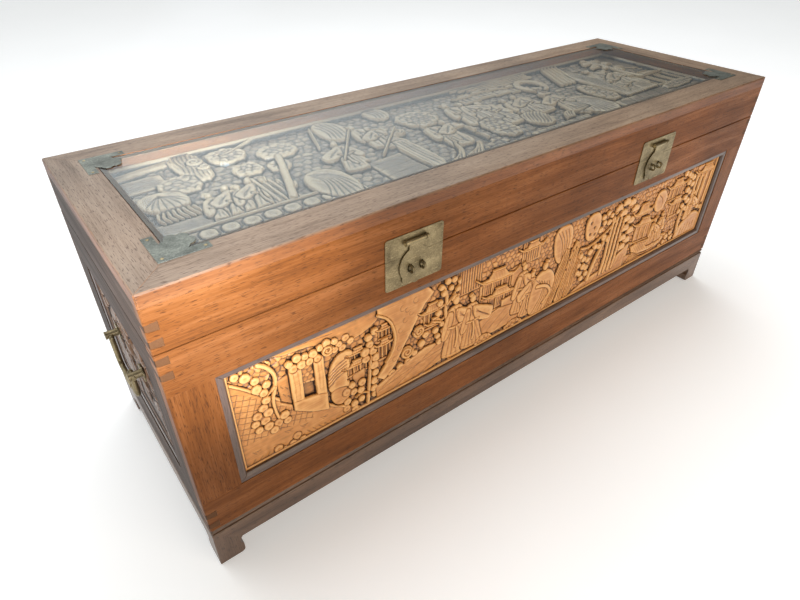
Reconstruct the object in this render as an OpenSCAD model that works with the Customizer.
/* [Overall] */
// Width of the body across its two ends
chest_w = 1150; // [900:10:1400]
// Depth of the body from front face to back face
chest_d = 380; // [320:5:520]
// Height of the carcase box, without stand and lid
carcase_h = 297; // [250:1:380]
// Height of the lid, with its top frame
lid_h = 72.5; // [62:0.5:110]
// Gap between the carcase rim and the lid
seam_gap = 0.5; // [0.3:0.1:1]

/* [Carcase] */
// Thickness of the front frame
front_t = 22; // [20:1:30]
// Thickness of the end frames
end_t = 14; // [12:1:22]
// Thickness of the back boards
back_t = 14; // [12:1:22]
// Thickness of the bottom boards
bottom_t = 12; // [8:1:20]
// Number of boards in the bottom
bottom_boards_n = 3; // [2:1:5]
// Height of the top rails
top_rail_h = 57; // [50:1:80]
// Height of the bottom rails
bottom_rail_h = 57; // [50:1:80]
// Width of the front stiles
stile_w = 52; // [40:1:80]
// Distance from the front or back face to the recess in an end
end_stile_w = 70; // [50:1:100]
// Height of the lower back board
back_split_h = 150; // [100:1:180]

/* [Carved panels] */
// Width of the rebate that holds a panel
rebate_w = 8; // [5:1:12]
// Gap round a panel in its rebate
panel_gap = 0.5; // [0.2:0.1:1]
// Depth of the front panel's flange below the face
front_flange_depth = 12; // [9:1:14]
// Depth of the front panel's carved field below the face
front_field_depth = 6; // [4.5:0.5:8]
// Width of the moulding strips round the front panel
front_moulding_w = 10; // [6:1:14]
// Depth of an end panel's flange below the face
end_flange_depth = 6; // [5:0.5:7]
// Depth of an end panel's carved field below the face
end_field_depth = 3; // [2.5:0.5:4.5]
// Width of the moulding strips round an end panel
end_moulding_w = 8; // [5:1:12]
// Thickness of the carved top panel
top_panel_t = 18; // [14:1:24]

/* [Dovetails] */
// Height of a dovetail pin at its outer, narrow side
pin_narrow = 8; // [6:1:10]
// Height of a dovetail pin at its inner, wide side
pin_wide = 11; // [8:1:13]
// Distance from a rail's edge to the centre of its first pin
pin_first = 10; // [8:1:12]
// Distance between the pins of one rail
pin_pitch = 20; // [15:1:25]

/* [Stand] */
// Height of the open space under the aprons
foot_h = 33; // [28:1:60]
// Height of the aprons
apron_h = 32; // [26:1:50]
// Thickness of the aprons
apron_t = 20; // [14:1:26]
// Height of the waist moulding
waist_h = 10; // [9:0.5:14]
// Width of the waist moulding, from the face inwards
waist_w = 28; // [26:1:40]
// Depth of the groove under the waist moulding
waist_groove = 3.5; // [2:0.5:5]
// Width of a leg across its face
leg_w = 36; // [30:1:46]
// Radius of the stand's top edge
stand_edge_r = 3; // [1:0.5:5]

/* [Lid] */
// Thickness of the lid's front and back boards
lid_board_t = 16; // [12:1:22]
// Thickness of the top frame
top_frame_t = 17; // [14:1:24]
// Width of the top frame round the glass
top_frame_w = 51; // [40:1:80]
// Width of the ledge that carries the glass
glass_ledge = 8; // [5:1:12]
// Thickness of the glass
glass_t = 5; // [3:0.5:6]
// Depth of the glass below the top face
glass_sink = 0.5; // [0.2:0.1:1]
// Gap round the edge of the glass
glass_gap = 0.8; // [0.4:0.1:2]
// Corner radius of the glass
glass_corner_r = 6; // [2:1:12]

/* [Glass brackets] */
// Length of a bracket's two arms
bracket_len = 55; // [40:1:70]
// Width of a bracket's arms
bracket_arm_w = 12; // [8:1:14]
// Thickness of a bracket
bracket_t = 0.8; // [0.5:0.1:1.5]
// Distance from the end face to a bracket
bracket_inset_x = 36; // [28:1:38]
// Distance from the front or back face to a bracket
bracket_inset_y = 38; // [28:1:38]

/* [Locks] */
// Distance of each lock from the middle of the chest
lock_x = 255; // [150:5:380]
// Width of a lock plate
lock_w = 90; // [80:1:110]
// Height of the upper lock plate
lock_upper_h = 30; // [28:1:36]
// Height of the lower lock plate
lock_lower_h = 43; // [41:1:48]
// Thickness of the lock plates
lock_t = 1.2; // [0.8:0.1:2]
// Corner radius of the lock plates
lock_corner_r = 4; // [2:1:8]
// Height of the hasp's hinge above the lid's lower edge
hasp_pivot_h = 19.5; // [18:0.5:24]
// Radius of the hasp's rolled knuckle
hasp_knuckle_r = 2.8; // [2.5:0.1:3.5]
// Radius of the hasp's pin
hasp_pin_r = 1.5; // [1.2:0.1:1.7]
// Length of the hasp's knuckle
hasp_knuckle_w = 27; // [22:1:32]
// Thickness of the hasp
hasp_t = 1.6; // [1.2:0.1:2]
// Distance of each staple from the middle of the lock
staple_x = 9; // [8:0.5:11]
// Radius of the hole in a staple
staple_hole_r = 3; // [2.5:0.1:3.2]
// Radius of a staple's round eye
staple_r = 5.5; // [5:0.1:6]
// Thickness of a staple
staple_t = 3; // [2:0.5:4]

/* [Hinges] */
// Distance of each lid hinge from the middle of the chest
hinge_x = 380; // [200:5:400]
// Width of a hinge leaf
hinge_w = 60; // [50:1:90]
// Height of a hinge leaf from the pin to its edge
hinge_leaf_h = 30; // [22:1:40]
// Thickness of a hinge leaf
hinge_leaf_t = 2; // [1.5:0.5:3]
// Radius of the hinge barrel
hinge_r = 4; // [3.5:0.5:5]
// Radius of the hinge pin
hinge_pin_r = 2; // [1.5:0.1:2.2]
// Length of the lid's knuckle in the middle of the barrel
hinge_mid_w = 20; // [14:1:26]

/* [Handles] */
// Distance of the bail's pivot below the carcase rim
handle_drop = 127; // [110:1:150]
// Distance of each post from the middle of the end
post_y = 50; // [42:1:70]
// Radius of a post
post_r = 5; // [4.5:0.5:7]
// Distance from the panel's face to the bail's pivot
post_reach = 12; // [11:0.5:16]
// Radius of a post's lobed back plate
rosette_r = 13; // [11:0.5:16]
// Radius of the bail's rod
bail_r = 3.5; // [3:0.5:4.5]
// Radius of the bail's pivot ends
bail_pivot_r = 2.5; // [2:0.1:3]
// Height of the bail from its pivot to the grip
bail_h = 45; // [38:1:60]
// Radius of the bail's corners
bail_corner_r = 12; // [8:1:16]

/* [Fits] */
// Radial clearance of a pin that turns in its bore
turn_gap = 0.05; // [0.02:0.01:0.08]
// Radial clearance of a pin that is held fast
hold_gap = 0.02; // [0.01:0.01:0.04]
// Gap between a round knuckle and the face behind it
knuckle_gap = 0.4; // [0.3:0.1:0.8]
// Gap between the ends of two knuckles
end_gap = 0.5; // [0.3:0.1:1]
// Least gap between a staple's round eye and the plate behind it
eye_gap = 0.1; // [0.1:0.1:1]
// Open joint between two boards or strips that lie edge to edge
board_gap = 0.2; // [0.1:0.1:0.6]

/* [Hidden] */
$fn = 48;

// Colours
wood_front = "#8a5230";
wood_dark = "#6b4a34";
wood_top = "#7d6650";
wood_carved = "#c8843c";
brass = "#85764f";

// Heights above the floor
carcase_z0 = foot_h + apron_h + waist_h;
rim_z = carcase_z0 + carcase_h;
lid_z0 = rim_z + seam_gap;
lid_z1 = lid_z0 + lid_h;
frame_z0 = lid_z1 - top_frame_t;
window_z0 = carcase_z0 + bottom_rail_h;
window_z1 = rim_z - top_rail_h;
window_mid_z = (window_z0 + window_z1) / 2;
window_h = window_z1 - window_z0;
ledge_z = lid_z1 - glass_sink - glass_t;

// The staples stand out in front and the hinge barrels behind, so the body sits off the middle by half the difference
staple_off = lock_t + max(staple_r + eye_gap, 2 * knuckle_gap + hasp_t + staple_hole_r);
staple_out = staple_off + staple_r;
hinge_off = hinge_r + knuckle_gap;
hinge_out = hinge_off + hinge_r;
middle_y = (staple_out - hinge_out) / 2;
front_y = middle_y - chest_d / 2;
back_y = middle_y + chest_d / 2;

// Dovetail pins
pin_z_top = [rim_z - pin_first, rim_z - pin_first - pin_pitch];
pin_z_bottom = [carcase_z0 + pin_first, carcase_z0 + pin_first + pin_pitch];
pin_z_lid = [lid_z0 + pin_first + 3, lid_z0 + pin_first + 3 + pin_pitch];

// Front window
window_w = chest_w - 2 * stile_w;

// End window
end_window_w = chest_d - 2 * end_stile_w;

// Locks
hasp_z = lid_z0 + hasp_pivot_h;
hasp_off = lock_t + knuckle_gap + hasp_knuckle_r;
hasp_eye_r = hasp_knuckle_r + 0.7;
hasp_eye_w = 4;
hasp_len = hasp_pivot_h + seam_gap + lock_lower_h;
hasp_body_r = 25;
slot_v = hasp_len - 25;
slot_w = 6.5;
slot_h = 2 * staple_r + 2;
staple_z = hasp_z - slot_v;
plate_nail_inset = 5;

// Hinges
hinge_z = rim_z + seam_gap / 2;
hinge_rows = [-22, 0, 22];
screw_z = 20;

// Handles
handle_z = rim_z - handle_drop;
field_x = chest_w / 2 - end_field_depth;
pivot_x = field_x + post_reach;
rosette_t = 1.5;
rosette_lobes = 5;
knob_t = 2.5;
post_spike = 6;
arm_y = post_y - post_r - 1 - bail_r;

// Nails and screws
nail_r = 0.8;
nail_head_r = 2;
nail_head_h = 0.6;
nail_len = 8;
screw_r = 1.8;
screw_head_r = 3.4;
screw_head_h = 1;
screw_len = 12;

module block(x0, x1, y0, y1, z0, z1) {
    translate([x0, y0, z0]) cube([x1 - x0, y1 - y0, z1 - z0]);
}

// Mirrors a left-hand piece to the right-hand side
module right_hand() {
    mirror([1, 0, 0]) children();
}

// Mirrors a front piece to the back of the body
module rear() {
    translate([0, 2 * middle_y, 0]) mirror([0, 1, 0]) children();
}

// Lies flat against a face that looks to -Y, with the drawing's Y as height
module on_front(y, z = 0) {
    translate([0, y, z]) rotate([90, 0, 0]) children();
}

// One strip along the -Y side of a rectangle, with 45 degree mitres that may stand open by a gap.
// Its section is the child, drawn with X inwards from the outer edge and Y up.
module mitred_strip(half_len, half_off, reach, gap = 0) {
    tall = 1000;
    tip = half_len - gap / 2;
    intersection() {
        translate([-half_len, 0, 0])
            rotate([90, 0, 90])
                linear_extrude(2 * half_len)
                    translate([-half_off, 0]) children();
        translate([0, 0, -tall / 2])
            linear_extrude(tall)
                polygon([
                    [-tip, -half_off],
                    [tip, -half_off],
                    [tip - reach, -half_off + reach],
                    [-tip + reach, -half_off + reach]
                ]);
    }
}

// Four separate mitred strips round a rectangle
module mitred_ring(half_w, half_h, reach) {
    for (turn = [0, 180]) {
        rotate(turn) mitred_strip(half_w, half_h, reach, board_gap) children();
        rotate(turn + 90) mitred_strip(half_h, half_w, reach, board_gap) children();
    }
}

// A rectangle with round corners, centred
module rounded_rect(w, h, r) {
    square([w - 2 * r, h], center = true);
    square([w, h - 2 * r], center = true);
    for (x = [-1, 1], y = [-1, 1])
        translate([x * (w / 2 - r), y * (h / 2 - r)]) circle(r);
}

// Dovetail pins of the left end, through the thickness between two depths
module left_pins(heights, y0, y1) {
    x0 = -chest_w / 2;
    for (z = heights)
        translate([0, y1, 0]) rotate([90, 0, 0])
            linear_extrude(y1 - y0)
                polygon([
                    [x0, z - pin_narrow / 2],
                    [x0 + end_t, z - pin_wide / 2],
                    [x0 + end_t, z + pin_wide / 2],
                    [x0, z + pin_narrow / 2]
                ]);
}

module both_pins(heights, y0, y1) {
    left_pins(heights, y0, y1);
    right_hand() left_pins(heights, y0, y1);
}

// Front frame

module front_rail(z0, z1, rebate_z0, rebate_z1, heights) {
    color(wood_front)
    difference() {
        block(-chest_w / 2, chest_w / 2, front_y, front_y + front_t, z0, z1);
        block(
            -window_w / 2 - rebate_w, window_w / 2 + rebate_w,
            front_y + front_flange_depth, front_y + front_t + 1,
            rebate_z0, rebate_z1
        );
        both_pins(heights, front_y - 1, front_y + front_t + 1);
    }
}

module front_top_rail() {
    front_rail(window_z1, rim_z, window_z1 - 1, window_z1 + rebate_w, pin_z_top);
}

module front_bottom_rail() {
    front_rail(carcase_z0, window_z0, window_z0 - rebate_w, window_z0 + 1, pin_z_bottom);
}

module front_left_stile() {
    color(wood_front)
    difference() {
        block(-chest_w / 2, -window_w / 2, front_y, front_y + front_t, window_z0, window_z1);
        block(
            -window_w / 2 - rebate_w, -window_w / 2 + 1,
            front_y + front_flange_depth, front_y + front_t + 1,
            window_z0 - 1, window_z1 + 1
        );
    }
}

module front_right_stile() {
    right_hand() front_left_stile();
}

// A panel: a flange that lies in the rebate and a raised field inside the moulding
module panel(w, h, moulding_w, flange_depth, field_depth, back_depth) {
    flange_w = w + 2 * (rebate_w - panel_gap);
    flange_h = h + 2 * (rebate_w - panel_gap);
    field_w = w - 2 * moulding_w - panel_gap;
    field_h = h - 2 * moulding_w - panel_gap;
    translate([-flange_w / 2, -flange_h / 2, -back_depth])
        cube([flange_w, flange_h, back_depth - flange_depth]);
    translate([-field_w / 2, -field_h / 2, -back_depth])
        cube([field_w, field_h, back_depth - field_depth]);
}

// Section of the moulding strips: a flat face with a bevel towards the panel
module moulding_section(w, depth) {
    polygon([[0, -depth], [0, -1], [w * 0.7, -1.3], [w, -depth / 3], [w, -depth]]);
}

module front_carved_panel() {
    color(wood_carved)
    on_front(front_y, window_mid_z)
        panel(window_w, window_h, front_moulding_w, front_flange_depth, front_field_depth, front_t);
}

module front_moulding() {
    color(wood_dark)
    on_front(front_y, window_mid_z)
        mitred_ring(window_w / 2, window_h / 2, front_moulding_w)
            moulding_section(front_moulding_w, front_flange_depth);
}

// End frames

module left_end_rail(z0, z1, rebate_z0, rebate_z1, heights) {
    x0 = -chest_w / 2;
    difference() {
        block(x0, x0 + end_t, front_y + front_t, back_y - back_t, z0, z1);
        block(
            x0 + end_flange_depth, x0 + end_t + 1,
            front_y + end_stile_w - rebate_w, back_y - end_stile_w + rebate_w,
            rebate_z0, rebate_z1
        );
    }
    left_pins(heights, front_y, front_y + front_t);
    left_pins(heights, back_y - back_t, back_y);
}

module left_end_rails() {
    color(wood_dark) {
        left_end_rail(window_z1, rim_z, window_z1 - 1, window_z1 + rebate_w, pin_z_top);
        left_end_rail(carcase_z0, window_z0, window_z0 - rebate_w, window_z0 + 1, pin_z_bottom);
    }
}

module left_end_stile() {
    x0 = -chest_w / 2;
    difference() {
        block(x0, x0 + end_t, front_y + front_t, front_y + end_stile_w, window_z0, window_z1);
        block(
            x0 + end_flange_depth, x0 + end_t + 1,
            front_y + end_stile_w - rebate_w, front_y + end_stile_w + 1,
            window_z0 - 1, window_z1 + 1
        );
    }
}

module left_end_stiles() {
    x0 = -chest_w / 2;
    color(wood_dark) {
        left_end_stile();
        difference() {
            block(x0, x0 + end_t, back_y - end_stile_w, back_y - back_t, window_z0, window_z1);
            block(
                x0 + end_flange_depth, x0 + end_t + 1,
                back_y - end_stile_w - 1, back_y - end_stile_w + rebate_w,
                window_z0 - 1, window_z1 + 1
            );
        }
    }
}

// Lies flat against the left end, with the drawing's Y as height
module on_left_end() {
    translate([-chest_w / 2, middle_y, window_mid_z]) rotate([90, 0, -90]) children();
}

module left_end_panel() {
    color(wood_carved)
    on_left_end()
        panel(end_window_w, window_h, end_moulding_w, end_flange_depth, end_field_depth, end_t);
}

module left_end_moulding() {
    color(wood_dark)
    on_left_end()
        mitred_ring(end_window_w / 2, window_h / 2, end_moulding_w)
            moulding_section(end_moulding_w, end_flange_depth);
}

module right_end_rails() {
    right_hand() left_end_rails();
}

module right_end_stiles() {
    right_hand() left_end_stiles();
}

module right_end_panel() {
    right_hand() left_end_panel();
}

module right_end_moulding() {
    right_hand() left_end_moulding();
}

// Back and bottom

module back_boards() {
    split_z = carcase_z0 + back_split_h;
    color(wood_dark) {
        for (span = [[carcase_z0, split_z - board_gap], [split_z, rim_z]])
            difference() {
                block(-chest_w / 2, chest_w / 2, back_y - back_t, back_y, span[0], span[1]);
                both_pins(concat(pin_z_top, pin_z_bottom), back_y - back_t - 1, back_y + 1);
            }
    }
}

module bottom_boards() {
    inner_x = chest_w / 2 - end_t;
    y0 = front_y + front_t;
    pitch = (back_y - back_t - y0 + board_gap) / bottom_boards_n;
    color(wood_dark)
    for (i = [0 : bottom_boards_n - 1])
        translate([-inner_x, y0 + i * pitch, carcase_z0]) cube([2 * inner_x, pitch - board_gap, bottom_t]);
}

// Stand

// Section of the waist: a groove below and a slope that rises to the carcase
module waist_section() {
    groove_h = 4;
    lip_h = 1;
    slope_in = 5;
    polygon([
        [waist_groove, 0],
        [waist_groove, groove_h],
        [0, groove_h],
        [0, groove_h + lip_h],
        [slope_in, waist_h],
        [waist_w, waist_h],
        [waist_w, 0]
    ]);
}

module waist_moulding() {
    color(wood_dark)
    translate([0, middle_y, foot_h + apron_h])
        mitred_ring(chest_w / 2, chest_d / 2, waist_w) waist_section();
}

// Everything below the stand's round top edge, in section
module under_round_edge(w) {
    top = foot_h + apron_h;
    square([w, top - stand_edge_r]);
    translate([stand_edge_r, 0]) square([w - stand_edge_r, top]);
    translate([stand_edge_r, top - stand_edge_r]) circle(stand_edge_r);
}

module apron(half_len, half_off) {
    top = foot_h + apron_h;
    color(wood_dark)
    translate([0, middle_y, 0])
    intersection() {
        mitred_strip(half_len, half_off, apron_t)
            intersection() {
                translate([0, foot_h]) square([apron_t, apron_h]);
                under_round_edge(apron_t);
            }
        translate([0, -half_off + apron_t + 1, 0]) rotate([90, 0, 0])
            linear_extrude(apron_t + 2)
                polygon([
                    [-half_len, top],
                    [half_len, top],
                    [half_len - leg_w, foot_h],
                    [-half_len + leg_w, foot_h]
                ]);
    }
}

// The side aprons turn the front one round the middle of the body
module turned_apron(turn, half_len, half_off) {
    translate([0, middle_y, 0]) rotate(turn) translate([0, -middle_y, 0]) apron(half_len, half_off);
}

module front_apron() {
    apron(chest_w / 2, chest_d / 2);
}

module back_apron() {
    turned_apron(180, chest_w / 2, chest_d / 2);
}

module left_apron() {
    turned_apron(-90, chest_d / 2, chest_w / 2);
}

module right_apron() {
    turned_apron(90, chest_d / 2, chest_w / 2);
}

// Outline of a leg seen on either face: a mitred top, a hollow inner edge and a hoof toe
module leg_outline() {
    hollow_r = 11;
    hollow_in = 3.5;
    toe_r = 6;
    hollow_z = foot_h - 9;
    intersection() {
        difference() {
            union() {
                translate([0, toe_r]) square([leg_w, foot_h - toe_r]);
                square([leg_w - toe_r, foot_h]);
                translate([leg_w - toe_r, toe_r]) circle(toe_r);
                polygon([[0, foot_h], [leg_w, foot_h], [0, foot_h + apron_h]]);
            }
            translate([leg_w + hollow_r - hollow_in, hollow_z]) circle(hollow_r);
        }
        under_round_edge(leg_w);
    }
}

module front_left_leg() {
    color(wood_dark)
    translate([-chest_w / 2, front_y, 0]) {
        intersection() {
            translate([0, leg_w, 0]) rotate([90, 0, 0]) linear_extrude(leg_w) leg_outline();
            rotate([90, 0, 90]) linear_extrude(leg_w) leg_outline();
        }
        block(apron_t, leg_w - 4, apron_t, leg_w - 4, foot_h - 14, foot_h + apron_h);
    }
}

module front_right_leg() {
    right_hand() front_left_leg();
}

module back_left_leg() {
    rear() front_left_leg();
}

module back_right_leg() {
    rear() front_right_leg();
}

// Lid

module lid_long_board() {
    color(wood_front)
    difference() {
        block(-chest_w / 2, chest_w / 2, front_y, front_y + lid_board_t, lid_z0, frame_z0);
        both_pins(pin_z_lid, front_y - 1, front_y + lid_board_t + 1);
    }
}

module lid_front_board() {
    lid_long_board();
}

module lid_back_board() {
    rear() lid_long_board();
}

module lid_left_board() {
    x0 = -chest_w / 2;
    color(wood_dark) {
        block(x0, x0 + end_t, front_y + lid_board_t, back_y - lid_board_t, lid_z0, frame_z0);
        left_pins(pin_z_lid, front_y, front_y + lid_board_t);
        left_pins(pin_z_lid, back_y - lid_board_t, back_y);
    }
}

module lid_right_board() {
    right_hand() lid_left_board();
}

// Section of the top frame, with the ledge for the glass
module top_frame_section() {
    polygon([
        [0, frame_z0],
        [top_frame_w + glass_ledge, frame_z0],
        [top_frame_w + glass_ledge, ledge_z],
        [top_frame_w, ledge_z],
        [top_frame_w, lid_z1],
        [0, lid_z1]
    ]);
}

module top_frame_piece(turn, half_len, half_off) {
    color(wood_top)
    translate([0, middle_y, 0]) rotate(turn)
        mitred_strip(half_len, half_off, top_frame_w + glass_ledge) top_frame_section();
}

module top_frame_front() {
    top_frame_piece(0, chest_w / 2, chest_d / 2);
}

module top_frame_back() {
    top_frame_piece(180, chest_w / 2, chest_d / 2);
}

module top_frame_left() {
    top_frame_piece(-90, chest_d / 2, chest_w / 2);
}

module top_frame_right() {
    top_frame_piece(90, chest_d / 2, chest_w / 2);
}

module carved_top_panel() {
    half_x = chest_w / 2 - end_t;
    color(wood_carved)
    block(-half_x, half_x, front_y + lid_board_t, back_y - lid_board_t, frame_z0 - top_panel_t, frame_z0);
}

module glass_pane() {
    color("#a8c8cc", 0.4)
    translate([0, middle_y, ledge_z])
        linear_extrude(glass_t)
            rounded_rect(
                chest_w - 2 * (top_frame_w + glass_gap),
                chest_d - 2 * (top_frame_w + glass_gap),
                glass_corner_r
            );
}

// Glass brackets

bracket_nails = [
    [bracket_arm_w / 2, bracket_arm_w / 2],
    [bracket_arm_w / 2, bracket_len - 5],
    [bracket_len - 5, bracket_arm_w / 2]
];

// Two arms on the frame and a lobed tongue over the corner of the glass
module bracket_outline() {
    difference() {
        union() {
            square([bracket_len, bracket_arm_w]);
            square([bracket_arm_w, bracket_len]);
            square(26);
            translate([24, 24]) circle(16);
            for (lobe = [[40, 26], [37, 37], [26, 40]])
                translate(lobe) circle(7);
        }
        for (p = bracket_nails)
            translate(p) circle(nail_r + hold_gap);
    }
}

module at_bracket() {
    translate([-chest_w / 2 + bracket_inset_x, front_y + bracket_inset_y, lid_z1]) children();
}

module front_left_bracket() {
    color(brass) at_bracket() linear_extrude(bracket_t) bracket_outline();
}

module front_right_bracket() {
    right_hand() front_left_bracket();
}

module back_left_bracket() {
    rear() front_left_bracket();
}

module back_right_bracket() {
    rear() front_right_bracket();
}

// A nail that points down, with its head resting at height zero
module nail() {
    cylinder(nail_head_h, r = nail_head_r);
    translate([0, 0, -nail_len]) cylinder(nail_len, r = nail_r);
}

module bracket_corner_nails() {
    at_bracket()
        for (p = bracket_nails)
            translate([p[0], p[1], bracket_t]) nail();
}

module plate_nails(height) {
    for (side = [-1, 1], edge = [-1, 1])
        translate([side * lock_x + edge * (lock_w / 2 - plate_nail_inset), front_y - lock_t, height])
            rotate([90, 0, 0]) nail();
}

module lid_nails() {
    color(brass) {
        bracket_corner_nails();
        right_hand() bracket_corner_nails();
        rear() bracket_corner_nails();
        rear() right_hand() bracket_corner_nails();
        plate_nails(lid_z0 + lock_upper_h - plate_nail_inset);
    }
}

module lock_plate_nails() {
    color(brass) plate_nails(rim_z - lock_lower_h + plate_nail_inset);
}

// Locks

// One plate, between two heights of the whole round-cornered outline
module lock_plate(z0, z1, nail_z) {
    whole_h = lock_upper_h + seam_gap + lock_lower_h;
    whole_mid = rim_z - lock_lower_h + whole_h / 2;
    on_front(front_y)
        linear_extrude(lock_t)
            difference() {
                intersection() {
                    translate([0, whole_mid]) rounded_rect(lock_w, whole_h, lock_corner_r);
                    translate([-lock_w / 2, z0]) square([lock_w, z1 - z0]);
                }
                for (edge = [-1, 1])
                    translate([edge * (lock_w / 2 - plate_nail_inset), nail_z]) circle(nail_r + hold_gap);
            }
}

module at_hasp_pivot() {
    translate([0, front_y - hasp_off, hasp_z]) rotate([0, 90, 0]) children();
}

module upper_lock_plate() {
    difference() {
        union() {
            lock_plate(lid_z0, lid_z0 + lock_upper_h, lid_z0 + lock_upper_h - plate_nail_inset);
            for (side = [-1, 1])
                at_hasp_pivot()
                    translate([0, 0, side * (hasp_knuckle_w / 2 + end_gap + hasp_eye_w / 2)])
                        cylinder(hasp_eye_w, r = hasp_eye_r, center = true);
        }
        at_hasp_pivot() cylinder(lock_w, r = hasp_pin_r + hold_gap, center = true);
    }
}

module left_upper_lock_plate() {
    color(brass) translate([-lock_x, 0, 0]) upper_lock_plate();
}

module right_upper_lock_plate() {
    color(brass) translate([lock_x, 0, 0]) upper_lock_plate();
}

module lower_lock_plate() {
    lock_plate(rim_z - lock_lower_h, rim_z, rim_z - lock_lower_h + plate_nail_inset);
}

module left_lower_lock_plate() {
    color(brass) translate([-lock_x, 0, 0]) lower_lock_plate();
}

module right_lower_lock_plate() {
    color(brass) translate([lock_x, 0, 0]) lower_lock_plate();
}

module hasp_pins() {
    pin_len = hasp_knuckle_w + 2 * (end_gap + hasp_eye_w) + 2;
    color(brass)
    for (side = [-1, 1])
        translate([side * lock_x, 0, 0])
            at_hasp_pivot() cylinder(pin_len, r = hasp_pin_r, center = true);
}

// A slot with round ends, centred
module slot() {
    square([slot_w, slot_h - slot_w], center = true);
    for (edge = [-1, 1])
        translate([0, edge * (slot_h - slot_w) / 2]) circle(slot_w / 2);
}

// Outline of the hasp: a narrow neck, a round body and a scalloped lower edge; Y is up from the pivot
module hasp_outline() {
    neck_half = 10;
    body_v = slot_v - 3;
    neck_v = body_v - hasp_body_r;
    fillet_r = 8;
    difference() {
        union() {
            translate([-neck_half, -body_v]) square([2 * neck_half, body_v]);
            translate([0, -body_v]) circle(hasp_body_r);
            difference() {
                translate([-neck_half - fillet_r + 2, -neck_v - 10])
                    square([2 * (neck_half + fillet_r - 2), 12]);
                for (side = [-1, 1])
                    translate([side * (neck_half + fillet_r), -neck_v + 1]) circle(fillet_r);
            }
            for (side = [-1, 1])
                translate([side * 14, -hasp_len + 11]) circle(7);
            translate([0, -hasp_len + 7.5]) circle(7);
        }
        for (side = [-1, 1])
            translate([side * staple_x, -slot_v]) slot();
    }
}

module hasp() {
    back_off = lock_t + knuckle_gap + 0.2;
    difference() {
        union() {
            at_hasp_pivot() cylinder(hasp_knuckle_w, r = hasp_knuckle_r, center = true);
            on_front(front_y - back_off, hasp_z) linear_extrude(hasp_t) hasp_outline();
        }
        at_hasp_pivot() cylinder(lock_w, r = hasp_pin_r + turn_gap, center = true);
    }
}

module left_hasp() {
    color(brass) translate([-lock_x, 0, 0]) hasp();
}

module right_hasp() {
    color(brass) translate([lock_x, 0, 0]) hasp();
}

// An eye on a neck that stands out through the hasp's slot, and a spike into the rail
module staple() {
    translate([0, front_y - staple_off, staple_z]) rotate([0, 90, 0])
        difference() {
            cylinder(staple_t, r = staple_r, center = true);
            cylinder(staple_t + 2, r = staple_hole_r, center = true);
        }
    neck_h = 2 * sqrt(staple_r * staple_r - pow(staple_hole_r + 0.6, 2));
    block(
        -staple_t / 2, staple_t / 2,
        front_y - staple_off + staple_hole_r + 0.6, front_y - lock_t,
        staple_z - neck_h / 2, staple_z + neck_h / 2
    );
}

module left_lock_staples() {
    color(brass) translate([-lock_x, 0, 0])
        for (side = [-1, 1]) translate([side * staple_x, 0, 0]) staple();
}

module right_lock_staples() {
    color(brass) translate([lock_x, 0, 0])
        for (side = [-1, 1]) translate([side * staple_x, 0, 0]) staple();
}

// Lid hinges

module at_hinge_axis() {
    translate([0, back_y + hinge_off, hinge_z]) rotate([0, 90, 0]) children();
}

// One leaf on the back face; up is 1 for the lid's leaf and -1 for the carcase's
module hinge_leaf(up, knuckles, bore_r, inner_gap) {
    edge_z = hinge_z + up * hinge_leaf_h;
    clear_z = hinge_z + up * (hinge_r + inner_gap);
    difference() {
        union() {
            block(
                -hinge_w / 2, hinge_w / 2, back_y, back_y + hinge_leaf_t,
                min(edge_z, clear_z), max(edge_z, clear_z)
            );
            for (span = knuckles) {
                block(
                    span[0], span[1], back_y + knuckle_gap, back_y + hinge_leaf_t,
                    min(clear_z, hinge_z), max(clear_z, hinge_z)
                );
                at_hinge_axis() translate([0, 0, span[0]]) cylinder(span[1] - span[0], r = hinge_r);
            }
        }
        at_hinge_axis() cylinder(hinge_w + 2, r = bore_r, center = true);
        for (x = hinge_rows)
            translate([x, back_y, hinge_z + up * screw_z]) rotate([-90, 0, 0])
                cylinder(hinge_leaf_t * 3, r = screw_r + hold_gap, center = true);
    }
}

module lower_hinge_leaves() {
    inner = hinge_mid_w / 2 + end_gap;
    color(brass)
    for (side = [-1, 1])
        translate([side * hinge_x, 0, 0])
            hinge_leaf(-1, [[-hinge_w / 2, -inner], [inner, hinge_w / 2]], hinge_pin_r + hold_gap, 0.6);
}

module upper_hinge_leaves() {
    color(brass)
    for (side = [-1, 1])
        translate([side * hinge_x, 0, 0])
            hinge_leaf(1, [[-hinge_mid_w / 2, hinge_mid_w / 2]], hinge_pin_r + turn_gap, 0.6);
}

module hinge_pins() {
    head_t = 1;
    color(brass)
    for (side = [-1, 1])
        translate([side * hinge_x, 0, 0])
            at_hinge_axis() {
                cylinder(hinge_w, r = hinge_pin_r, center = true);
                for (end = [-1, 1])
                    translate([0, 0, end * (hinge_w + head_t) / 2])
                        cylinder(head_t, r = hinge_r - 1, center = true);
            }
}

module hinge_screws(up) {
    for (side = [-1, 1], x = hinge_rows)
        translate([side * hinge_x + x, back_y + hinge_leaf_t, hinge_z + up * screw_z])
            rotate([-90, 0, 0]) {
                cylinder(screw_head_h, r = screw_head_r);
                translate([0, 0, -screw_len]) cylinder(screw_len, r = screw_r);
            }
}

module lower_hinge_screws() {
    color(brass) hinge_screws(-1);
}

module upper_hinge_screws() {
    color(brass) hinge_screws(1);
}

// Handles

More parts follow.
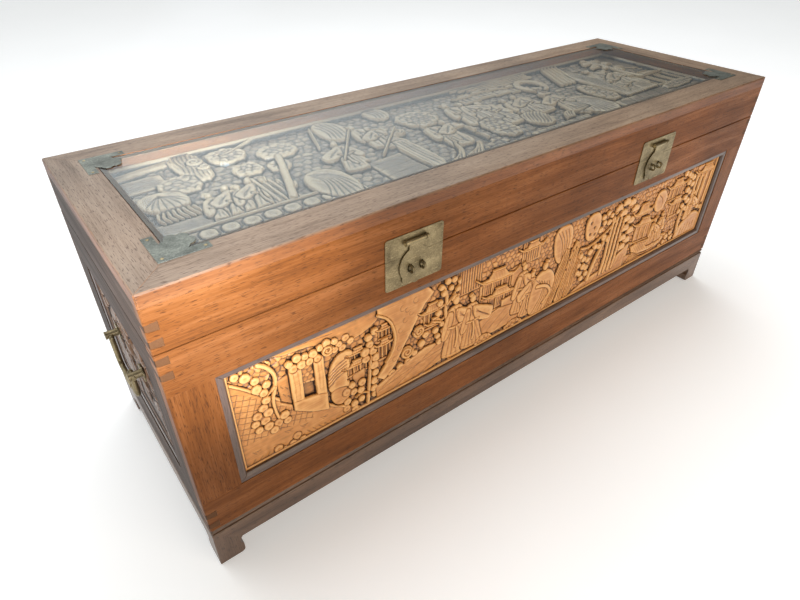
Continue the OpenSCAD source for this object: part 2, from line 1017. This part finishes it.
// A lobed plate, a post with a bore for the bail, a round cap and a spike into the panel
module handle_post() {
    knob_z = post_reach + bail_pivot_r + 1;
    linear_extrude(rosette_t) {
        circle(rosette_r - 4);
        for (i = [0 : rosette_lobes - 1])
            rotate(i * 360 / rosette_lobes) translate([rosette_r - 4.7, 0]) circle(4.7);
    }
    difference() {
        translate([0, 0, rosette_t]) cylinder(knob_z - rosette_t, r = post_r);
        translate([0, 0, post_reach]) rotate([90, 0, 0])
            cylinder(4 * post_r, r = bail_pivot_r + turn_gap, center = true);
    }
    translate([0, 0, knob_z]) cylinder(knob_t, r = post_r + 0.5);
    translate([0, 0, -post_spike]) cylinder(post_spike, r = 2);
}

module left_handle_posts() {
    color(brass)
    for (side = [-1, 1])
        translate([-field_x, middle_y + side * post_y, handle_z]) rotate([0, -90, 0]) handle_post();
}

module right_handle_posts() {
    right_hand() left_handle_posts();
}

// Half of the bail in its own plane, with X along the pivot axis and Y up from it
module bail_half() {
    grip_y = -bail_h;
    rotate([0, 90, 0]) translate([0, 0, arm_y]) cylinder(post_y + post_r + 2 - arm_y, r = bail_pivot_r);
    translate([arm_y, 0, 0]) sphere(bail_r);
    translate([arm_y, grip_y + bail_corner_r, 0]) rotate([-90, 0, 0]) cylinder(bail_h - bail_corner_r, r = bail_r);
    translate([arm_y - bail_corner_r, grip_y + bail_corner_r, 0])
        rotate(-90) rotate_extrude(angle = 90) translate([bail_corner_r, 0]) circle(bail_r);
    translate([0, grip_y, 0]) rotate([0, 90, 0]) cylinder(arm_y - bail_corner_r, r = bail_r);
    translate([0, grip_y, 0]) rotate([0, 90, 0]) cylinder(14, r = bail_r + 0.8);
}

module left_bail() {
    color(brass)
    translate([-pivot_x, middle_y, handle_z]) rotate([90, 0, -90]) {
        bail_half();
        mirror([1, 0, 0]) bail_half();
    }
}

module right_bail() {
    right_hand() left_bail();
}

front_top_rail();
front_bottom_rail();
front_left_stile();
front_right_stile();
front_carved_panel();
front_moulding();
left_end_rails();
left_end_stiles();
left_end_panel();
left_end_moulding();
right_end_rails();
right_end_stiles();
right_end_panel();
right_end_moulding();
back_boards();
bottom_boards();
waist_moulding();
front_apron();
back_apron();
left_apron();
right_apron();
front_left_leg();
front_right_leg();
back_left_leg();
back_right_leg();
left_lower_lock_plate();
right_lower_lock_plate();
left_lock_staples();
right_lock_staples();
lock_plate_nails();
lower_hinge_leaves();
hinge_pins();
lower_hinge_screws();
left_handle_posts();
right_handle_posts();
lid_front_board();
lid_back_board();
lid_left_board();
lid_right_board();
top_frame_front();
top_frame_back();
top_frame_left();
top_frame_right();
carved_top_panel();
glass_pane();
front_left_bracket();
front_right_bracket();
back_left_bracket();
back_right_bracket();
lid_nails();
left_upper_lock_plate();
right_upper_lock_plate();
hasp_pins();
upper_hinge_leaves();
upper_hinge_screws();
left_hasp();
right_hasp();
left_bail();
right_bail();
